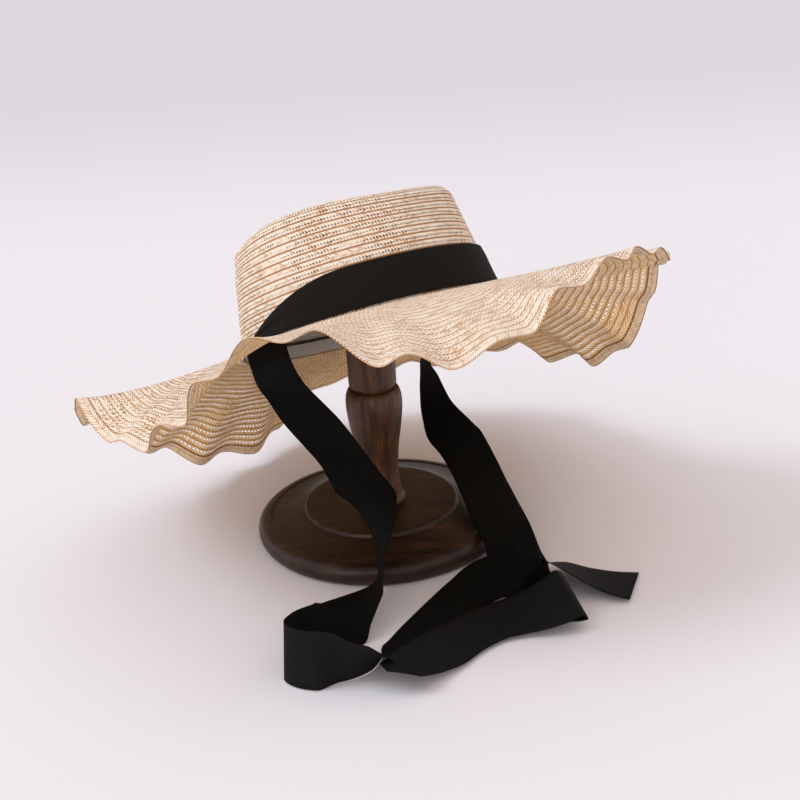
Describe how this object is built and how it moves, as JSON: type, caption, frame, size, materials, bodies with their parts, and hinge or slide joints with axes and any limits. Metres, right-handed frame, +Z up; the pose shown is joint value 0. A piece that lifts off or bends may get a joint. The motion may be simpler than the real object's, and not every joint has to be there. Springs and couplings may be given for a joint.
{
  "type": "wide-brim straw hat on a wooden hat stand",
  "caption": "Wide-brim hat of sewn straw braid with a wavy brim, a black ribbon band and two long ribbon ties, tilted on a turned wooden stand.",
  "frame": {"origin": "centre of the hat stand's foot, on the floor", "axes": "+Z up along the stand's post; -Y to the hat's front, where the ties lie on the floor; +X to the right seen from the front"},
  "size_m": [0.4141, 0.4125, 0.2613],
  "materials": {
    "walnut": "dark walnut stain under a satin varnish",
    "straw": "matte sewn straw braid, pale beige with brown rows",
    "edge_straw": "matte straw braid, a little darker",
    "ribbon": "matte black ribbon with a fine cross weave",
    "lining": "ribbed grey-beige cotton",
    "cord": "matte black cord"
  },
  "bodies": {
    "root": {"stand_base": "walnut", "stand_stem": "walnut", "stand_post": "walnut", "stand_head": "walnut", "crown": "straw", "brim": "straw", "brim_edge": "edge_straw", "hat_band": "ribbon", "sweatband": "lining", "size_cord": "cord", "tie_left": "ribbon", "tie_right": "ribbon"}
  },
  "joints": []
}
